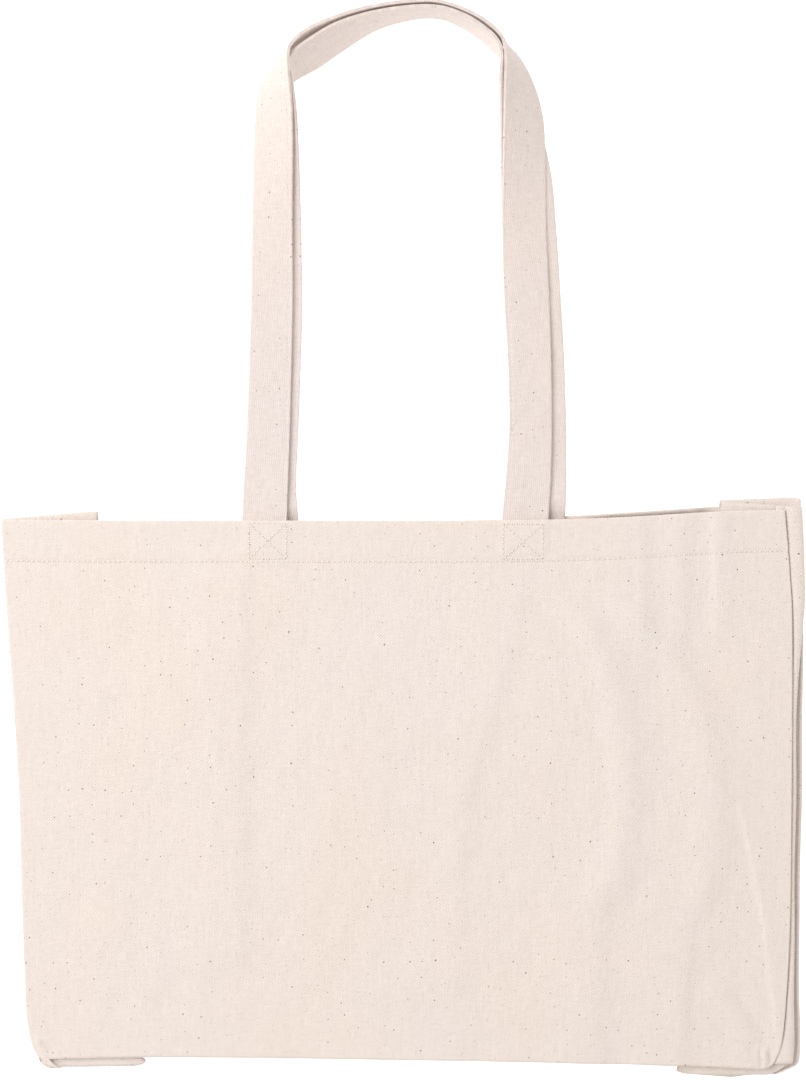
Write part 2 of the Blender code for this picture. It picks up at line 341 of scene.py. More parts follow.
# Soft ridges of the front panel, from their lower end up: path, height, width on the left and on the right.
LONG_FOLDS = (
    (((-97, -275), (-96, -140), (-95, 2)), 1.5, 42, 9),
    (((37, -290), (39, -200), (47, -140), (60, -98), (70, -61), (76, -10)), 1.0, 24, 9),
    (((124, -236), (138, -190), (142, -140), (137, -98), (124, -61), (100, -26)), 2.1, 11, 13),
    (((186, -240), (196, -170), (189, -112), (166, -66), (130, -26)), 1.9, 15, 12),
    (((199, -70), (199, 40)), 1.3, 4.5, 11),
    (((176, -80), (176, 40)), 0.9, 9, 6),
    (((151, -90), (151, 40)), 1.0, 20, 6),
    (((121, -345), (122, -260), (124, -190)), 1.4, 26, 10),
    (((172, -345), (176, -285), (180, -225)), 1.2, 22, 6),
    (((237.5, -322), (235.4, -298), (231.4, -265), (225.4, -222), (218.7, -187), (209, -150)), 0.9, 2.0, 8),
)
# Small creases: start, end, width and height, in millimetres.
CREASES = (
    ((-90, -13.4), (-58, -15.2), 1.3, 0.8), ((188, -262), (226, -316), 6, 1.0),
    ((206, -270), (232, -308), 4, -0.8), ((-215.9, -305.6), (-206.5, -314.6), 1.3, -1.3),
    ((-219, -302), (-211, -316.5), 1.6, 0.7), ((226.8, -310), (228.6, -325), 1.5, 1.3),
    ((224.4, -310), (225.6, -325), 1.2, -1.0), ((230.2, -309), (231.8, -321), 1.5, -0.9),
)
TAB_BOXES = {"left": (-92.4, -61.6), "right": (66.4, 96.2)}


def panel_relief(x, y):
    """How far the front panel's cloth stands above its flat height."""
    inside = smooth_step((x - front_left(y)) / 0.05) * smooth_step((front_right(y) - x) / 0.05)
    inside *= smooth_step((y - BOTTOM_EDGE) / 0.05) * smooth_step((TOP_EDGE - HEM_DEPTH - y) / 0.04)
    relief = inside * 0.5 * MM * waves(x, y * 0.5, 3, 14, 0.07, 0.25)
    relief += inside * 0.16 * MM * waves(x, y, 4, 24, 0.018, 0.06)
    for start, end, width, height in CREASES:
        relief += crease(x, y, start, end, width, height)
    for path, height, left, right in LONG_FOLDS:
        relief += long_fold(x, y, path, height, left, right)
    for left, right in TAB_BOXES.values():
        across = smooth_step((x - left * MM) / (2 * MM)) * smooth_step((right * MM - x) / (2 * MM))
        relief += 0.45 * MM * across * smooth_step((y + 9.5 * MM) / (2 * MM))
    relief += 0.22 * MM * waves(x * 3, y, 5, 10, 0.05, 0.12) * bump(y, BOTTOM_EDGE + 4 * MM, 9 * MM)
    return relief


def panel_height(x, y):
    """Middle height of the front panel's cloth, with its hem."""
    below_top = front_top(x) - y
    z = FRONT_Z + panel_relief(x, y)
    z -= 0.16 * MM * bump(below_top, HEM_DEPTH, 1.2 * MM)
    in_hem = smooth_step((HEM_DEPTH - below_top) / (3 * MM))
    return z + 0.30 * MM * in_hem * smooth_step(below_top / (2 * MM))


def turned_hem(outer, edges, shares, rows, gap, down, level):
    """Rows that turn over the panel's top edge and run back down its inner side. down is -1 to run
    under the panel and 1 to run over it."""
    left_of, right_of = edges[0], edges[1]
    turn = 5
    turned = []
    for k in range(1, rows + 1):
        row = outer[-1].copy()
        if k <= turn:
            angle = math.pi * k / turn
            row[:, 1] += gap / 2 * math.sin(angle)
            row[:, 2] += down * gap / 2 * (1 - math.cos(angle))
        else:
            row[:, 1] -= (HEM_DEPTH - 0.5 * MM) * (k - turn) / (rows - turn)
            left, right = left_of(row[:, 1]) + 0.4 * MM, right_of(row[:, 1]) - 0.4 * MM
            row[:, 0] = left + (right - left) * shares
            row[:, 2] = level(row[:, 0], row[:, 1]) + down * gap
        turned.append(row)
    return np.array(turned)


def make_panel(name, edges, height, corner, shares, rows, hem, body):
    hem_rows, gap, down, level = hem
    s, t = np.meshgrid(shares, np.linspace(0, 1, rows))
    x, y = panel_plan(edges, s, t, corner)
    outer = np.stack([x, y, height(x, y)], axis=2)
    points = np.concatenate([outer, turned_hem(outer, edges, s[0], hem_rows, gap, down, level)])
    flat = points[..., :2].copy()
    flat[rows:, :, 1] = 2 * flat[rows - 1, :, 1] - points[rows:, :, 1]
    piece = cloth(f"{name}_cloth", points, flat)
    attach(piece, body)
    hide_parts(name)


def level_front(x, y):
    return np.full_like(x, FRONT_Z)


def back_height(x, y):
    """Middle height of the back panel, whose top edge curls up between the handle and the right gusset."""
    free = smooth_step((x - 0.110) / 0.020) * smooth_step((0.197 - x) / 0.012)
    showing = np.maximum(BACK_EDGES[3](x) - front_top(x), 0.5 * MM)
    return BACK_Z + 6.0 * MM * free * smooth_step((y - front_top(x) + 2 * MM) / (showing + 2 * MM))


# ---------------------------------------------------------------- gussets
# Where the folded gussets reach furthest out, and their inner crease: millimetres outward from the middle,
# and along the bag.
GUSSET_EDGES = {
    "right": {
        "seam": (
            (232.4, -328), (234.8, -317), (237.5, -306), (240.1, -281.7), (242.2, -247), (243.4, -198),
            (244.2, -61), (242.6, -20), (239.4, 22),
        ),
        "front": (
            (244.9, -328), (245.6, -318), (246.0, -306), (245.6, -257), (246.0, -220), (246.7, -159),
            (247.6, -98), (250.2, -61), (252.6, -37), (252.2, -12), (251.4, 9), (250.4, 22),
        ),
        "back": (
            (236, -328), (243, -325), (248.4, -322.2), (249.4, -320.3), (250.0, -317), (250.6, -300),
            (249.7, -275), (249.5, -251), (250.1, -220), (251.2, -159), (251.9, -98), (251.9, -37),
            (250.4, 22),
        ),
        "crease": ((173.6, -328), (179.0, -312), (180, -280), (180, -100), (180, 22)),
    },
    "left": {
        "seam": (
            (206.4, -323.0), (211.9, -320.5), (216.4, -315.0), (220.6, -305), (222.6, -295),
            (223.7, -282), (226.0, -220), (227.6, -159), (231.2, -98), (235.6, -37), (238.4, 12.3),
        ),
        "front": (
            (209.4, -323.0), (214.2, -320.5), (217.7, -315.0), (221.2, -305), (223.0, -295),
            (224.1, -282), (226.3, -220), (227.9, -159), (231.5, -98), (235.9, -37), (238.9, 12.3),
        ),
        "back": (
            (209.4, -323.0), (213.6, -320.5), (217.0, -315.0), (220.4, -305), (222.2, -295),
            (223.2, -282), (225.4, -220), (227.0, -159), (230.6, -98), (235.0, -37), (237.6, 12.3),
        ),
        "crease": ((151.0, -323.0), (178.0, -306), (180.0, -280), (180.0, -100), (180.6, 12.3)),
    },
}
# How far each gusset's top and lower edges stand from its straight ends, going round the fold from the
# front: (share of the way, rise in millimetres).
GUSSET_TOPS = {
    "right": (
        (0, -1.5), (0.06, -1.6), (0.10, -1.8), (0.16, -1.4), (0.392, 1.2), (0.398, -7.5), (0.630, -7.5),
        (0.636, 2.3), (0.88, 3.9), (0.92, 3.6), (0.96, 1.0), (1, 0.5),
    ),
    "left": ((0, 0.0), (0.04, 0.4), (0.49, 5.2), (0.52, 5.0), (0.96, 0.0), (1, -0.4)),
}
GUSSET_ENDS = {
    "right": (
        (0, 8.0), (0.06, 8.0), (0.13, 8.0), (0.17, 3.0), (0.21, 0.2), (0.49, 0.3), (0.525, 2.4),
        (0.545, 2.4), (0.58, 0.3), (0.76, -2.0), (0.80, -1.0), (1, 1.0),
    ),
    "left": (
        (0, 0.3), (0.44, 0.9), (0.475, 1.9), (0.495, 4.4), (0.505, 4.4), (0.53, 1.9), (0.56, 0.9), (1, 0.5),
    ),
}
GUSSET_SPAN = {"right": (-328.0, 22.0), "left": (-323.0, 12.3)}


def gusset_section(seam, front, back, inner):
    """The folded gusset across its width, from the front seam round its crease to the back seam: X and Z.
    Its front strip is shown where it stands well out past the seam, and elsewhere tucked under the panel."""
    tucked = np.array([
        (seam - 5.0, 11.3), (seam - 1.6, 11.3), (seam + 0.2, 10.7), (seam + 1.1, 11.3),
        (front - 1.0, 11.8), (front - 0.5, 11.5),
    ])
    shown = np.array([
        (seam - 5.0, 11.4), (seam - 0.4, 11.0), (seam + 0.6, 10.3), (seam + 1.5, 12.0),
        (front - 4.4, 12.4), (front - 1.3, 11.7),
    ])
    if front - seam < 1.5:
        tucked = np.array([
            (seam - 4.0, 11.3), (seam - 2.4, 11.3), (seam - 2.0, 11.3), (seam - 1.6, 11.3),
            (seam - 1.1, 11.1), (seam - 0.7, 10.9),
        ])
    strip = tucked + (shown - tucked) * smooth_step((front - seam - 3.2) / 2.8)
    return np.array([
        *strip, (front - 0.15, 9.9), (front - 1.6, 9.0), (front - 9.0, 8.3),
        (inner + 30, 8.0), (inner + 12, 7.75), (inner + 3.0, 7.45), (inner + 0.4, 6.7), (inner + 3.0, 5.95),
        (inner + 12, 5.65), (inner + 30, 5.4), (back - 10.0, 5.2), (back - 3.0, 5.5),
        (back - 1.0, 7.3), (back - 0.2, 5.2), (back - 1.4, 2.5), (back - 4.6, 2.1), (back - 9.0, 1.9),
    ]) * MM


def along_fold(stations, share):
    stations = np.array(stations)
    return np.interp(share, stations[:, 0], stations[:, 1]) * MM


def make_side_gusset(end, side):
    rows, across = 190, 150
    low, high = (value * MM for value in GUSSET_SPAN[end])
    edges = {name: edge_between(points, 1) for name, points in GUSSET_EDGES[end].items()}
    share = np.linspace(0, 1, across)
    top, lower = along_fold(GUSSET_TOPS[end], share), along_fold(GUSSET_ENDS[end], share)
    grid, flat = [], []
    for v in np.linspace(0, 1, rows):
        y = low + (high - low) * v
        reach = [float(edges[name](y)) / MM for name in ("seam", "front", "back", "crease")]
        section = smooth_path(gusset_section(*reach), across)
        if end == "left":
            upper = smooth_step((section[:, 1] - 5.6 * MM) / MM)
            section[:, 1] += 2.2 * MM * smooth_step((-y - 0.300) / 0.016) * upper
        shift = top * smooth_step((v - 0.85) / 0.15) + lower * smooth_step((0.10 - v) / 0.10)
        ripple = 0.30 * MM * math.sin(y * 70) * smooth_step((np.abs(share - 0.5) - 0.36) / 0.1)
        grid.append(np.stack([side * (section[:, 0] + ripple), y + shift, section[:, 1]], axis=1))
        flat.append(np.stack([side * (share * GUSSET_DEPTH + 2.0), y + shift], axis=1))
    points, uvs = np.array(grid), np.array(flat)
    strips = {
        f"{end}_gusset_front_edge": (slice(0, 23), (0.023, GUSSET_HEIGHT)),
        f"{end}_gusset": (slice(22, 120), (0.085, GUSSET_HEIGHT)),
        f"{end}_gusset_back_edge": (slice(119, across), (0.030, GUSSET_HEIGHT)),
    }
    pieces = []
    for name, (columns, flat_size) in strips.items():
        strip, strip_uvs = points[:, columns], uvs[:, columns]
        if side < 0:
            strip, strip_uvs = strip[:, ::-1], strip_uvs[:, ::-1]
        piece = cloth(name, strip, strip_uvs)
        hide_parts(f"{end}_gusset_back_half", f"{end}_gusset_front_half")
        pieces.append(piece)
    front_edge, middle, back_edge = pieces
    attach(front_edge, "front_side")
    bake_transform(middle)
    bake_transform(back_edge)


def make_bottom_gusset():
    rows, across = 90, 180
    half = 0.218
    pleat_in = 58 * MM
    x = np.linspace(-0.207, 0.229, across)
    section = np.array([
        (0.8, 11.3), (-0.6, 11.2), (-0.9, 11.0), (4, 10.9), (pleat_in / MM * 0.5, 10.0),
        (pleat_in / MM - 4, 7.9), (pleat_in / MM, 6.7), (pleat_in / MM - 4, 5.5),
        (pleat_in / MM * 0.5, 3.4), (4, 2.7), (-0.9, 2.5), (-0.6, 2.3), (0.8, 2.2),
    ]) * MM
    path = smooth_path(section, rows)
    grid, flat = [], []
    for n, (depth, z) in enumerate(path):
        base = front_bottom(x) + 0.8 * MM
        shrink = 1 - np.clip(depth, 0, 1) / half * 0.97
        row_x = x * shrink
        grid.append(np.stack([row_x, base + depth, np.full(across, z)], axis=1))
        flat.append(np.stack([row_x + 4.0, np.full(across, 0.12 * n / rows)], axis=1))
    piece = cloth("bottom_gusset", np.array(grid)[::-1], np.array(flat)[::-1])
    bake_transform(piece)
    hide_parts("bottom_back_half", "bottom_front_half")


def make_corner_tuck(end, side, where):
    """The triangle of cloth that the bottom strip folds into at each corner, inside the side gusset."""
    low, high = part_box(f"{end}_corner_tuck_{where}")
    fold = min(abs(low.x), abs(high.x)) + 1 * MM
    reach = {"right": 44 * MM, "left": 30 * MM}[end]
    middle = (low.z + high.z) / 2
    rows, across = 40, 40
    grid, flat = [], []
    for v in np.linspace(0.02, 1, rows):
        y = high.y - 2 * MM - (high.y - low.y - 7 * MM) * v
        xs = np.linspace(fold, fold + reach * v, across)
        grid.append(np.stack([side * xs, np.full(across, y), np.full(across, middle)], axis=1))
        flat.append(np.stack([xs + 6, np.full(across, y)], axis=1))
    points, uvs = np.array(grid), np.array(flat)
    if side > 0:
        points, uvs = points[::-1], uvs[::-1]
    piece = cloth(f"{end}_corner_tuck_{where}_cloth", points, uvs)
    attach(piece, f"{end}_pleat_{where}")
    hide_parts(f"{end}_corner_tuck_{where}")


# ---------------------------------------------------------------- straps
# Stations along each handle from the left hem to the right one, in millimetres: the stitched edge's X, Y and
# Z, then the folded edge's. The legs lie flat, and the strap turns on edge to go round the arch.
FRONT_STRAP = (
    (-65.2, -8, 10.4, -93.2, -8, 10.4), (-65.0, 8, 10.0, -92.6, 8, 10.0),
    (-64.8, 13, 7.8, -92.4, 13, 7.6), (-64.4, 30, 6.8, -91.8, 30, 6.2), (-63.4, 60, 4.9, -90.2, 60, 4.4),
    (-62.5, 95, 4.5, -88.8, 95, 4.0), (-61.4, 143, 5.4, -87.3, 143, 3.9),
    (-61.4, 180, 7.6, -86.6, 180, 3.8), (-61.3, 208, 10.8, -86.0, 208, 3.6),
    (-60.9, 235, 14.8, -85.5, 233, 3.2), (-60.9, 257, 18.8, -84.8, 255, 2.6),
    (-61.5, 271, 22.4, -83.7, 270.5, 2.0), (-62.4, 281, 25.0, -79.9, 281.5, 1.7),
    (-62.9, 290, 27.2, -74.6, 291.0, 1.4), (-61.8, 299.0, 29.2, -66.2, 299.2, 1.0),
    (-52.2, 308.2, 29.6, -54.0, 304.8, 1.0), (-33.9, 316.4, 29.6, -34.6, 314.4, 0.9),
    (-12, 322.6, 29.6, -12.2, 321.4, 0.9), (12, 325.8, 29.6, 12, 325.0, 0.9),
    (30, 325.2, 29.6, 30.0, 324.6, 0.9), (49.8, 317.8, 29.6, 49.6, 317.2, 0.9),
    (63.8, 307.6, 29.0, 65.2, 307.2, 0.9), (67.7, 299.8, 27.6, 75.0, 300.2, 1.0),
    (68.5, 289.6, 25.2, 82.0, 290.5, 1.2), (68.1, 277, 22.0, 88.2, 276.8, 1.8),
    (67.8, 257, 18.4, 92.9, 257, 2.6), (67.4, 224, 12.4, 94.2, 224, 3.4),
    (67.2, 190, 7.8, 94.6, 190, 3.8), (68.4, 150, 5.4, 96.4, 150, 4.0), (70.8, 110, 4.6, 97.6, 110, 4.2),
    (71.6, 70, 4.6, 98.0, 70, 4.4), (69.6, 40, 5.8, 97.4, 40, 5.4), (67.2, 14, 7.8, 95.9, 14, 7.6),
    (67.1, 8, 10.0, 95.8, 8, 10.0), (67.0, -8, 10.4, 95.6, -8, 10.4),
)
BACK_STRAP = (
    (-57.6, -8, 2.9, -86.2, -8, 2.9), (-58.0, 12, 3.2, -86.2, 12, 2.9), (-58.8, 22, 4.6, -87.0, 22, 2.4),
    (-59.4, 36, 3.2, -87.2, 36, 1.7), (-58.4, 60, 2.1, -86.6, 60, 1.2), (-57.0, 95, 1.7, -85.0, 95, 1.15),
    (-55.6, 143, 2.6, -83.2, 143, 1.15), (-56.0, 180, 4.8, -82.4, 180, 1.15),
    (-56.6, 208, 8.0, -81.6, 208, 1.15), (-57.4, 235, 12.2, -80.2, 233, 1.1),
    (-58.4, 257, 16.6, -78.0, 254, 1.0), (-59.7, 270, 20.2, -73.4, 267, 1.0),
    (-61.6, 281.5, 23.2, -67.0, 276.5, 1.0), (-63.9, 290.0, 24.8, -60.8, 282.8, 1.0),
    (-59.8, 296.6, 25.6, -53.8, 286.9, 1.0), (-51.0, 303.2, 26.4, -44.6, 292.0, 1.0),
    (-33.9, 313.0, 27.2, -28.6, 303.2, 1.0), (-12, 319.4, 28.0, -9.2, 315.0, 1.0),
    (12, 322.7, 28.6, 12.2, 321.2, 1.0), (28.8, 322.3, 28.8, 28.2, 321.8, 1.0),
    (43.8, 317.4, 28.8, 41.4, 317.0, 1.0), (55.0, 310.6, 28.6, 52.4, 310.0, 1.0),
    (63.4, 303.0, 27.8, 64.8, 299.2, 1.0), (66.1, 294.4, 26.0, 73.6, 290.6, 1.0),
    (65.2, 279, 22.4, 82.2, 276.8, 1.0), (65.8, 257, 16.8, 90.2, 256, 1.0),
    (66.2, 226, 10.6, 97.6, 226, 1.1), (67.4, 190, 5.8, 101.0, 190, 1.15),
    (72.0, 150, 3.2, 103.6, 150, 1.15), (76.6, 110, 1.8, 105.8, 110, 1.15),
    (77.8, 70, 1.6, 107.0, 70, 1.2), (77.4, 40, 2.8, 107.0, 40, 2.2), (76.6, 24, 3.6, 106.6, 24, 4.0),
    (76.6, 12, 3.0, 106.0, 12, 2.9), (76.6, -8, 2.9, 105.0, -8, 2.9),
)
# Small creases across each handle's right leg: how far up it, in metres, how much each climbs across the
# strap, and its height in millimetres.
STRAP_CREASES = {
    "front": (
        (0.2270, 0.10, -0.45), (0.1985, -0.08, -0.40), (0.0800, 1.1, 0.75), (0.0660, 1.3, -0.70),
        (0.0330, 0.5, 0.5),
    ),
    "back": ((0.150, 0.4, 0.3),),
}
STRAP_STATIONS = 520
STRAP_FACE = (
    (0.8, 1.0), (0.5, 1.0), (0.2, 1.0), (-0.1, 1.0), (-0.4, 1.0), (-0.7, 1.0), (-0.80, 0.94),
    (-0.85, 0.82), (-0.90, 0.94),
)


def strap_section():
    """The folded strap's cross-section: for each point a share of the half width, then metres inward and up.
    It has a round fold at +1 and two turned edges, side by side with a groove between them, at -1."""
    half, lobe = STRAP / 2, STRAP / 4
    points = []
    for angle in np.radians(np.linspace(-90, 90, 11)):
        points.append((1.0, half * (math.cos(angle) - 1), half * math.sin(angle)))
    points += [(share, 0.0, half * puff) for share, puff in STRAP_FACE]
    for middle, first, last in ((lobe, 90, 250), (-lobe, 110, 270)):
        for angle in np.radians(np.linspace(first, last, 8)):
            points.append((-1.0, lobe * (math.cos(angle) + 1), middle + lobe * math.sin(angle)))
    points += [(share, 0.0, -half * puff) for share, puff in reversed(STRAP_FACE)]
    return np.array(points)


def strap_frames(stations):
    path = smooth_path(np.array(stations) * MM, STRAP_STATIONS)
    stitched, folded = path[:, :3], path[:, 3:]
    centre = (stitched + folded) / 2
    across = folded - stitched
    width = np.linalg.norm(across, axis=1, keepdims=True)
    across /= width
    along = np.gradient(centre, axis=0)
    along /= np.linalg.norm(along, axis=1, keepdims=True)
    face = np.cross(across, along)
    face /= np.linalg.norm(face, axis=1, keepdims=True)
    return centre, across, face, width


def make_strap(name, stations):
    centre, across, face, width = strap_frames(stations)
    section = strap_section()
    run = np.concatenate([[0], np.cumsum(np.linalg.norm(np.diff(centre, axis=0), axis=1))])
    relief = 0.16 * MM * waves(run, np.zeros_like(run), 11 + len(name), 12, 0.015, 0.09)
    rings, uvs = [], []
    for n in range(STRAP_STATIONS):
        local = (section[:, 0:1] * width[n] / 2 + section[:, 1:2]) * across[n]
        sag = 0.5 * MM * waves(section[:, 0] * 0.015, run[n], 21 + len(name), 8, 0.03, 0.12)
        place = centre[n] + local
        for up, climb, depth in STRAP_CREASES[name]:
            off_line = place[:, 1] - up - climb * (place[:, 0] - centre[n, 0])
            sag += depth * MM / 0.35 * bump(off_line, 0, 1.6 * MM) * (place[:, 0] > 0)
        puff = section[:, 2:3] + (relief[n] + 0.35 * sag)[:, None] * (1 - np.abs(section[:, 0:1]) ** 3)
        rings.append(place + puff * face[n])
        around = section[:, 0] * STRAP_WIDTH / 2 + section[:, 1] + 8
        uvs.append(np.stack([around, np.full(len(section), run[n])], axis=1))
    points = np.array(rings).reshape(-1, 3)
    ring = len(section)
    faces = grid_faces(STRAP_STATIONS, ring, close=True, flip=True)
    faces.append(tuple(range(ring)))
    faces.append(tuple(reversed(range((STRAP_STATIONS - 1) * ring, STRAP_STATIONS * ring))))
    piece = new_object(f"{name}_handle_strap", points, faces, np.array(uvs).reshape(-1, 2))
    inset = width / 2 - 2.2 * MM
    inner = run > 30 * MM
    inner &= run < run[-1] - 30 * MM
    path = centre - across * inset + face * (STRAP / 2 * 0.74)
    rows = stitch_row(path[inner], face[inner], seed=5 + len(name), width=0.5 * MM, height=0.4 * MM)
    under = centre - across * inset - face * (STRAP / 2 * 0.74)
    rows += stitch_row(under[inner], -face[inner], seed=6 + len(name), width=0.5 * MM, height=0.4 * MM)
    stitches = joined(f"{name}_handle_stitches", rows)
    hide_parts(f"{name}_handle_loop", f"{name}_handle_tab_left", f"{name}_handle_tab_right")
    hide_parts(f"{name}_handle_edge_stitch")
    for obj, slot in ((piece, "strap_canvas"), (stitches, "thread")):
        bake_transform(obj)


# ---------------------------------------------------------------- sewing
def surface_height(x, y):
    return panel_height(x, y) + CANVAS / 2


def path_on_front(points, lift=0.20 * MM, samples=60):
    points = np.array(points, float)
    length = np.concatenate([[0], np.cumsum(np.linalg.norm(np.diff(points, axis=0), axis=1))])
    wanted = np.linspace(0, length[-1], samples)
    x, y = np.interp(wanted, length, points[:, 0]), np.interp(wanted, length, points[:, 1])
    return np.stack([x, y, surface_height(x, y) + lift], axis=1)


UP = np.array([0.0, 0.0, 1.0])
HEM_PITCH = 3.1 * MM
BOX_PITCH = 2.9 * MM


def make_hem_stitches():
    x = np.linspace(-0.2375, 0.2385, 300)
    path = path_on_front(np.stack([x, front_top(x) - HEM_DEPTH], axis=1), samples=300)
    ups = np.tile(UP, (len(path), 1))
    piece = joined("front_hem_stitches", stitch_row(path, ups, pitch=HEM_PITCH, seed=31))
    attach(piece, "front_side")
    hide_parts("front_hem_stitch")
    back = path.copy()
    back[:, 0] += 4 * MM
    back[:, 2] = BACK_Z + 0.9 * MM + CANVAS / 2
    piece = joined("back_hem_stitches", stitch_row(back, ups, pitch=HEM_PITCH, seed=32))
    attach(piece, "back_side")
    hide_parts("back_hem_stitch")


BOXES = {"left": (-87.6, -64.8, -11.6, 10.2), "right": (67.8, 92.0, -11.8, 9.6)}


def box_paths(left, right, low, high):
    """A box of sewing with a cross from corner to corner."""
    corners = [(left, low), (right, low), (right, high), (left, high), (left, low)]
    lines = [corners[i:i + 2] for i in range(4)]
    lines += [[(left, low), (right, high)], [(right, low), (left, high)]]
    return [[(x * MM, y * MM) for x, y in line] for line in lines]


def make_box_stitches():
    for end, edges in BOXES.items():
        rows = []
        for n, line in enumerate(box_paths(*edges)):
            path = path_on_front(line)
            rows += stitch_row(path, np.tile(UP, (len(path), 1)), pitch=BOX_PITCH, seed=41 + n)
        piece = joined(f"front_box_stitches_{end}", rows)
        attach(piece, "front_side")
        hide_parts(f"front_box_stitch_{end}")
        low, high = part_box(f"back_box_stitch_{end}")
        rows = []
        for n, line in enumerate(box_paths(low.x / MM, high.x / MM, low.y / MM, high.y / MM)):
            path = path_on_front(line)
            path[:, 2] = BACK_TAB_Z + STRAP / 2
            rows += stitch_row(path, np.tile(UP, (len(path), 1)), pitch=BOX_PITCH, seed=51 + n)
        piece = joined(f"back_box_stitches_{end}", rows)
        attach(piece, "back_side")
        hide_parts(f"back_box_stitch_{end}")


def make_seam_stitches():
    """Rows of sewing down the seams between the panels and the gussets, on the inside."""
    inside = {
        "front": ("front_side", FRONT_EDGES, FRONT_Z - 0.9 * MM),
        "back": ("back_side", BACK_EDGES, BACK_Z + 0.9 * MM),
    }
    for panel, (body, (left_of, right_of, bottom_of, _), z) in inside.items():
        y = np.linspace(BOTTOM_EDGE + 12 * MM, TOP_EDGE - HEM_DEPTH - 2 * MM, 60)
        x = np.linspace(-0.20, 0.225, 60)
        lines = {
            "side_seam_left": (left_of(y) + SEAM_INSET, y),
            "side_seam_right": (right_of(y) - SEAM_INSET, y),
            "bottom_seam": (x, bottom_of(x) + SEAM_INSET),
        }
        for seam, (xs, ys) in lines.items():
            path = np.stack([xs, ys, np.full(60, z)], axis=1)
            piece = joined(f"{panel}_{seam}_stitches", stitch_row(path, np.tile(UP, (60, 1)), seed=61))
            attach(piece, body)
            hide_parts(f"{panel}_{seam}")


# ---------------------------------------------------------------- materials
CANVAS_TONE = (0.946, 0.848, 0.784)
STRAP_TONE = (0.945, 0.846, 0.795)
WARM = (1.0, 0.975, 0.955)
COOL = (0.975, 0.985, 1.01)
PALE = (1.03, 1.03, 1.03)
SHADE = (0.56, 0.52, 0.48)
RIB_PITCH = 1.25 * MM


def tinted(tone, tint):
    return tuple(a * b for a, b in zip(tone, tint))


class Nodes:
    """Short ways to add and join shader nodes."""

    def __init__(self, name):
        self.material = bpy.data.materials.new(name)
        self.material.use_nodes = True
        self.tree = self.material.node_tree
        self.shader = self.tree.nodes["Principled BSDF"]

    def add(self, kind, **values):
        node = self.tree.nodes.new(kind)
        for key, value in values.items():
            setattr(node, key, value)
        return node

    def link(self, source, target):
        self.tree.links.new(source, target)

    def math(self, operation, a, b=None):
        node = self.add("ShaderNodeMath", operation=operation)
        for socket, value in zip(node.inputs, (a, b)):
            if value is None:
                continue
            if isinstance(value, (int, float)):
                socket.default_value = value
            else:
                self.link(value, socket)
        return node.outputs[0]

    def mix(self, factor, first, second):
        node = self.add("ShaderNodeMix", data_type="RGBA")
        for socket, value in ((node.inputs[0], factor), (node.inputs[6], first), (node.inputs[7], second)):
            if isinstance(value, (int, float)):
                socket.default_value = value
            elif isinstance(value, tuple):
                socket.default_value = (*value, 1.0)
            else:
                self.link(value, socket)
        return node.outputs[2]

    def ramp(self, source, low, high):
        node = self.add("ShaderNodeMapRange")
        node.inputs[1].default_value = low
        node.inputs[2].default_value = high
        self.link(source, node.inputs[0])
        return node.outputs[0]

    def noise(self, vector, scale, detail=2.0, roughness=0.5):
        node = self.add("ShaderNodeTexNoise")
        node.inputs["Scale"].default_value = scale
        node.inputs["Detail"].default_value = detail
        node.inputs["Roughness"].default_value = roughness
        self.link(vector, node.inputs["Vector"])
        return node.outputs["Fac"]


def flecks(n, uv, density, share, size):
    """Small specks scattered over the cloth: some of the cells hold one, each of its own strength."""
    cells = n.add("ShaderNodeTexVoronoi", voronoi_dimensions="2D", feature="F1")
    cells.inputs["Scale"].default_value = density
    n.link(uv, cells.inputs["Vector"])
    pick = n.add("ShaderNodeSeparateColor")
    n.link(cells.outputs["Color"], pick.inputs[0])
    reach = n.math("MULTIPLY", n.math("ADD", pick.outputs[2], 0.5), size * density)
    near = n.ramp(n.math("DIVIDE", cells.outputs["Distance"], reach), 1.0, 0.6)
    chosen = n.math("LESS_THAN", pick.outputs[0], share)
    return n.math("MULTIPLY", n.math("MULTIPLY", near, chosen), n.math("ADD", pick.outputs[1], 0.25))


def stretched(n, uv, x, y):
    mapping = n.add("ShaderNodeMapping")
    mapping.inputs["Scale"].default_value = (x, y, 1.0)
    n.link(uv, mapping.inputs[0])
    return mapping.outputs[0]


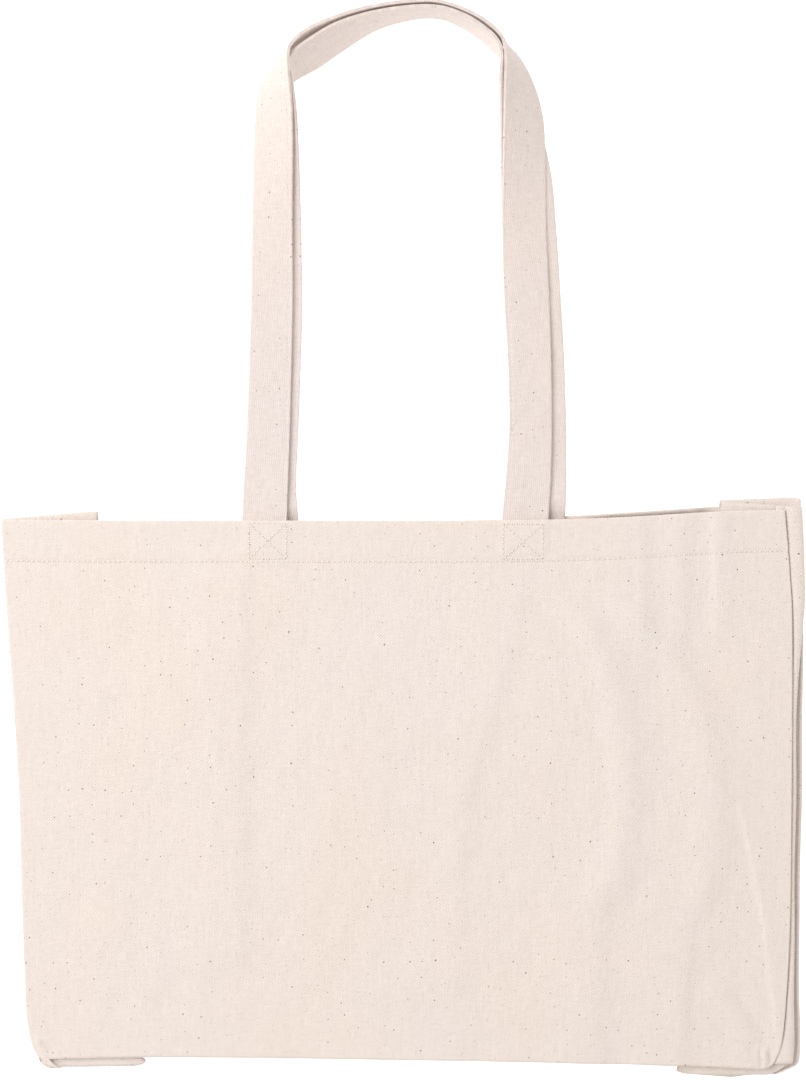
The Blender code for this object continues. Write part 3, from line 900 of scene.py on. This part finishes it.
def canvas_material(name, tone, rib_turn, rib_depth, streaks):
    """Unbleached cotton twill: diagonal ribs, uneven yarn, faint warm and cool patches and seed flecks."""
    n = Nodes(name)
    uv = n.add("ShaderNodeUVMap", uv_map="cloth").outputs[0]
    turned = n.add("ShaderNodeMapping")
    turned.inputs["Rotation"].default_value = (0, 0, rib_turn)
    n.link(uv, turned.inputs[0])
    split = n.add("ShaderNodeSeparateXYZ")
    n.link(turned.outputs[0], split.inputs[0])
    uneven = n.math("MULTIPLY", n.math("SUBTRACT", n.noise(uv, 420, 2), 0.5), 0.0011)
    ribs = n.math("SINE", n.math("MULTIPLY", n.math("ADD", split.outputs[0], uneven), math.tau / RIB_PITCH))
    warp = n.ramp(n.noise(stretched(n, uv, 1.0, 0.12), 900, 3, 0.7), 0.30, 0.70)
    weft = n.ramp(n.noise(stretched(n, uv, 0.12, 1.0), 800, 3, 0.7), 0.30, 0.70)
    slub = n.ramp(n.noise(stretched(n, uv, 1.0, 0.10), 300, 3, 0.7), 0.35, 0.70)
    yarn = n.math("MULTIPLY", n.math("ADD", warp, weft), 0.5)
    patch = n.ramp(n.noise(stretched(n, uv, 1.0, 0.7), 9, 2, 0.5), 0.36, 0.64)
    cloud = n.ramp(n.noise(stretched(n, uv, 1.0, 0.10), 75, 3, 0.6), 0.33, 0.70)
    colour = n.mix(patch, tinted(tone, WARM), tinted(tone, COOL))
    colour = n.mix(n.math("MULTIPLY", cloud, 0.40), colour, tinted(tone, PALE))
    colour = n.mix(n.math("MULTIPLY", yarn, 0.17), colour, tinted(tone, SHADE))
    colour = n.mix(n.math("MULTIPLY", slub, 0.10), colour, tinted(tone, SHADE))
    colour = n.mix(n.math("MULTIPLY", n.ramp(ribs, 1.0, -1.0), rib_depth), colour, tinted(tone, SHADE))
    streak = n.ramp(n.noise(stretched(n, uv, 1.0, 0.22), 560, 2, 0.6), 0.34, 0.66)
    pick = n.ramp(n.noise(stretched(n, uv, 0.25, 1.0), 620, 2, 0.6), 0.34, 0.66)
    grain = n.math("MULTIPLY", n.math("ADD", streak, pick), 0.5 * streaks)
    colour = n.mix(grain, colour, tinted(tone, SHADE))
    colour = n.mix(n.math("MULTIPLY", flecks(n, uv, 240, 0.55, 0.00033), 0.36), colour, (0.30, 0.20, 0.15))
    colour = n.mix(n.math("MULTIPLY", flecks(n, uv, 125, 0.42, 0.00038), 0.88), colour, (0.16, 0.09, 0.055))
    n.link(colour, n.shader.inputs["Base Color"])
    height = n.math("ADD", n.math("MULTIPLY", ribs, 0.5), n.math("MULTIPLY", yarn, 1.2))
    raised = n.add("ShaderNodeBump")
    raised.inputs["Strength"].default_value = 0.45
    raised.inputs["Distance"].default_value = 0.00030
    n.link(height, raised.inputs["Height"])
    n.link(raised.outputs[0], n.shader.inputs["Normal"])
    rough = n.add("ShaderNodeMapRange")
    rough.inputs[3].default_value = 0.82
    rough.inputs[4].default_value = 0.96
    n.link(yarn, rough.inputs[0])
    n.link(rough.outputs[0], n.shader.inputs["Roughness"])
    n.shader.inputs["Specular IOR Level"].default_value = 0.15
    n.shader.inputs["Sheen Weight"].default_value = 0.12
    n.shader.inputs["Sheen Roughness"].default_value = 0.5
    return n.material


def thread_material():
    """Off-white cotton thread with a fine twist, with painted shade at each stitch's ends where it goes down
    its needle hole.
    """
    n = Nodes("sewing_thread")
    where = n.add("ShaderNodeTexCoord").outputs["Object"]
    ends = n.add("ShaderNodeSeparateXYZ")
    n.link(n.add("ShaderNodeUVMap", uv_map="cloth").outputs[0], ends.inputs[0])
    twist = n.add("ShaderNodeTexWave", wave_type="BANDS", bands_direction="DIAGONAL")
    twist.inputs["Scale"].default_value = 900
    n.link(where, twist.inputs["Vector"])
    uneven = n.noise(where, 60, 2)
    colour = n.mix(n.ramp(uneven, 0.3, 0.7), (0.93, 0.85, 0.78), (0.96, 0.90, 0.84))
    # Painted shade: the stitch ends turn dark brown, standing in for the shadow inside each needle hole.
    colour = n.mix(n.ramp(ends.outputs[0], 0.45, 0.9), colour, (0.30, 0.22, 0.17))
    n.link(colour, n.shader.inputs["Base Color"])
    raised = n.add("ShaderNodeBump")
    raised.inputs["Strength"].default_value = 0.3
    raised.inputs["Distance"].default_value = 0.0001
    n.link(twist.outputs["Fac"], raised.inputs["Height"])
    n.link(raised.outputs[0], n.shader.inputs["Normal"])
    n.shader.inputs["Roughness"].default_value = 0.7
    return n.material


# ---------------------------------------------------------------- studio
def make_camera():
    camera = bpy.data.cameras.new("camera")
    camera.sensor_width = SENSOR
    camera.lens = SENSOR * (CAMERA_HEIGHT - TARGET_Z) / FRAME_HEIGHT
    camera.clip_start = 0.05
    camera.clip_end = 20
    view = bpy.data.objects.new("camera", camera)
    view.location = (CAMERA_X, 0, CAMERA_HEIGHT)
    bpy.context.scene.collection.objects.link(view)
    bpy.context.scene.camera = view


def make_light(name, place, target, size, power):
    light = bpy.data.lights.new(name, "AREA")
    light.shape = "DISK"
    light.size = size
    light.energy = power
    holder = bpy.data.objects.new(name, light)
    holder.location = place
    holder.rotation_euler = (Vector(target) - Vector(place)).to_track_quat("-Z", "Y").to_euler()
    bpy.context.scene.collection.objects.link(holder)


def make_studio():
    size = 4.0
    points = [(-size, -size, -0.0004), (size, -size, -0.0004), (size, size, -0.0004), (-size, size, -0.0004)]
    floor = new_object("floor", points, [(0, 1, 2, 3)])
    n = Nodes("white_floor")
    n.shader.inputs["Base Color"].default_value = (0.93, 0.93, 0.93, 1)
    n.shader.inputs["Roughness"].default_value = 0.9
    n.shader.inputs["Emission Color"].default_value = (1, 1, 1, 1)
    n.shader.inputs["Emission Strength"].default_value = 0.55
    floor.data.materials.append(n.material)
    world = bpy.data.worlds.new("studio")
    world.use_nodes = True
    world.node_tree.nodes["Background"].inputs[0].default_value = (1.0, 0.995, 0.99, 1)
    world.node_tree.nodes["Background"].inputs[1].default_value = 0.69
    bpy.context.scene.world = world
    make_light("key", (-1.5, 0.7, 1.9), (0, 0, 0), 1.9, 37)
    make_light("fill", (1.6, -0.4, 2.2), (0, 0, 0), 2.0, 4)
    bpy.context.scene.view_settings.view_transform = "Standard"


# ---------------------------------------------------------------- the bag
make_camera()
make_studio()
finer_right = np.concatenate([np.linspace(0, 0.8, 220), np.linspace(0.8, 1, 150)[1:]])
make_panel(
    "front_panel", FRONT_EDGES, panel_height, corner=5 * MM, shares=finer_right, rows=240,
    hem=(26, 1.0 * MM, -1, level_front), body="front_side",
)
make_panel(
    "back_panel", BACK_EDGES, back_height, corner=8 * MM, shares=np.linspace(0, 1, 160), rows=120,
    hem=(20, 0.9 * MM, 1, back_height), body="back_side",
)
make_bottom_gusset()
for end, side in (("left", -1), ("right", 1)):
    make_side_gusset(end, side)
    for where in ("back", "front"):
        make_corner_tuck(end, side, where)
make_strap("front", FRONT_STRAP)
make_strap("back", BACK_STRAP)
make_hem_stitches()
make_box_stitches()
make_seam_stitches()

canvas = canvas_material("canvas_twill", CANVAS_TONE, math.radians(40), 0.17, 0.18)
strap_canvas = canvas_material("strap_twill", STRAP_TONE, math.radians(8), 0.24, 0.26)
thread = thread_material()
for obj in bpy.data.objects:
    if obj.type != "MESH" or obj.name == "floor":
        continue
    if "stitch" in obj.name or "seam" in obj.name:
        finish = thread
    elif "strap" in obj.name or "handle" in obj.name:
        finish = strap_canvas
    else:
        finish = canvas
    obj.data.materials.clear()
    obj.data.materials.append(finish)
